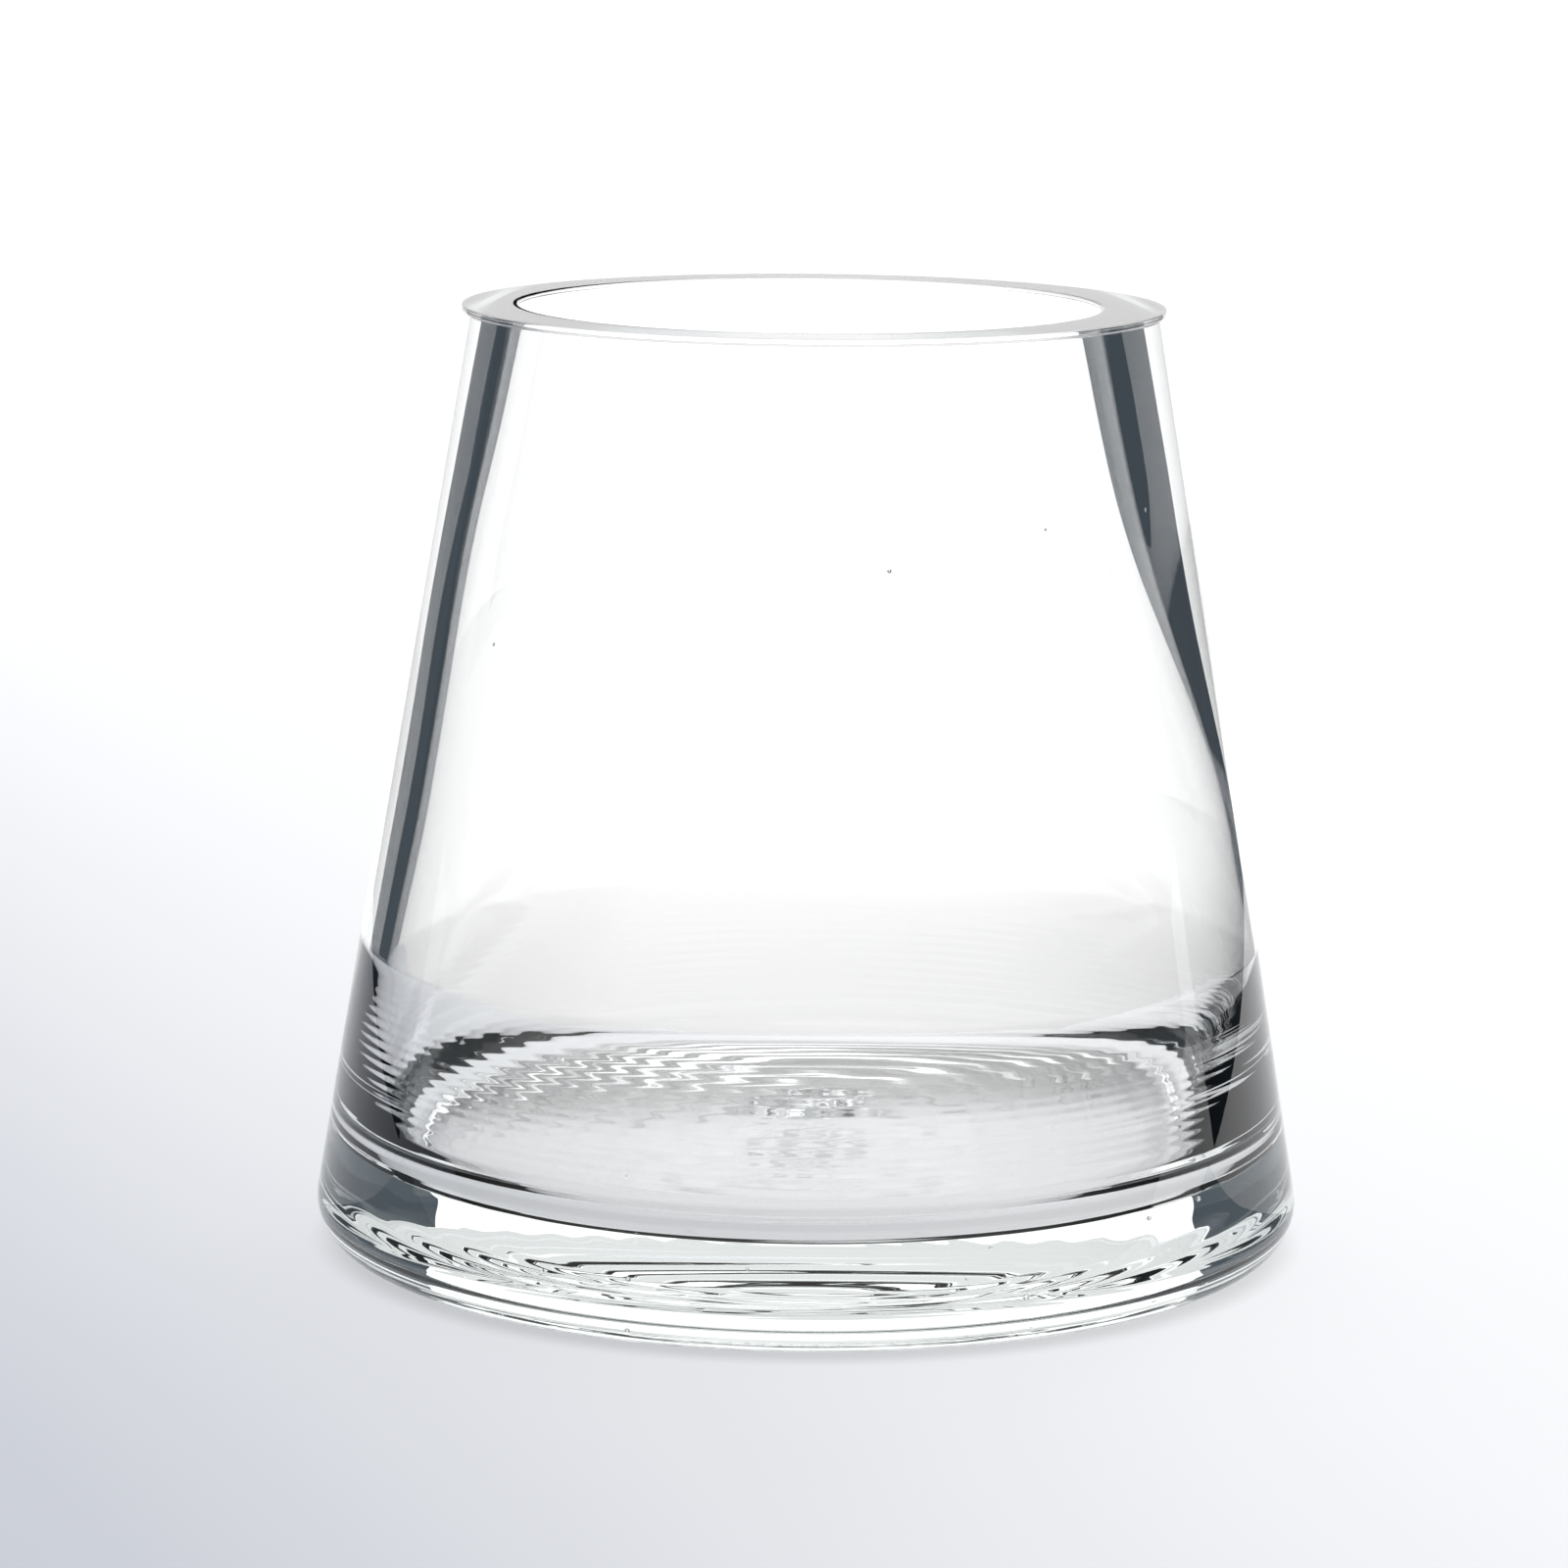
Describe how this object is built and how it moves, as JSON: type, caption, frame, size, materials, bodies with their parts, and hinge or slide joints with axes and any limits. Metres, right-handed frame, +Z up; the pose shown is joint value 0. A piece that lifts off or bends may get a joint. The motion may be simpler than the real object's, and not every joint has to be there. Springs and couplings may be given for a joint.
{
  "type": "tapered glass flower vase",
  "caption": "Low clear-glass flower vase shaped as a truncated cone, wide at the base, with a thick floor and a thick flat ground rim.",
  "frame": {"origin": "centre of the underside, in the plane of the ring it stands on", "axes": "+Z up along the vase's axis, from the underside towards the mouth; +X and +Y are any two level directions, because the vase is round"},
  "size_m": [0.15, 0.15, 0.1432],
  "materials": {
    "clear_glass": "clear polished soda-lime glass"
  },
  "bodies": {
    "root": {"vase_body": "clear_glass"}
  },
  "joints": []
}
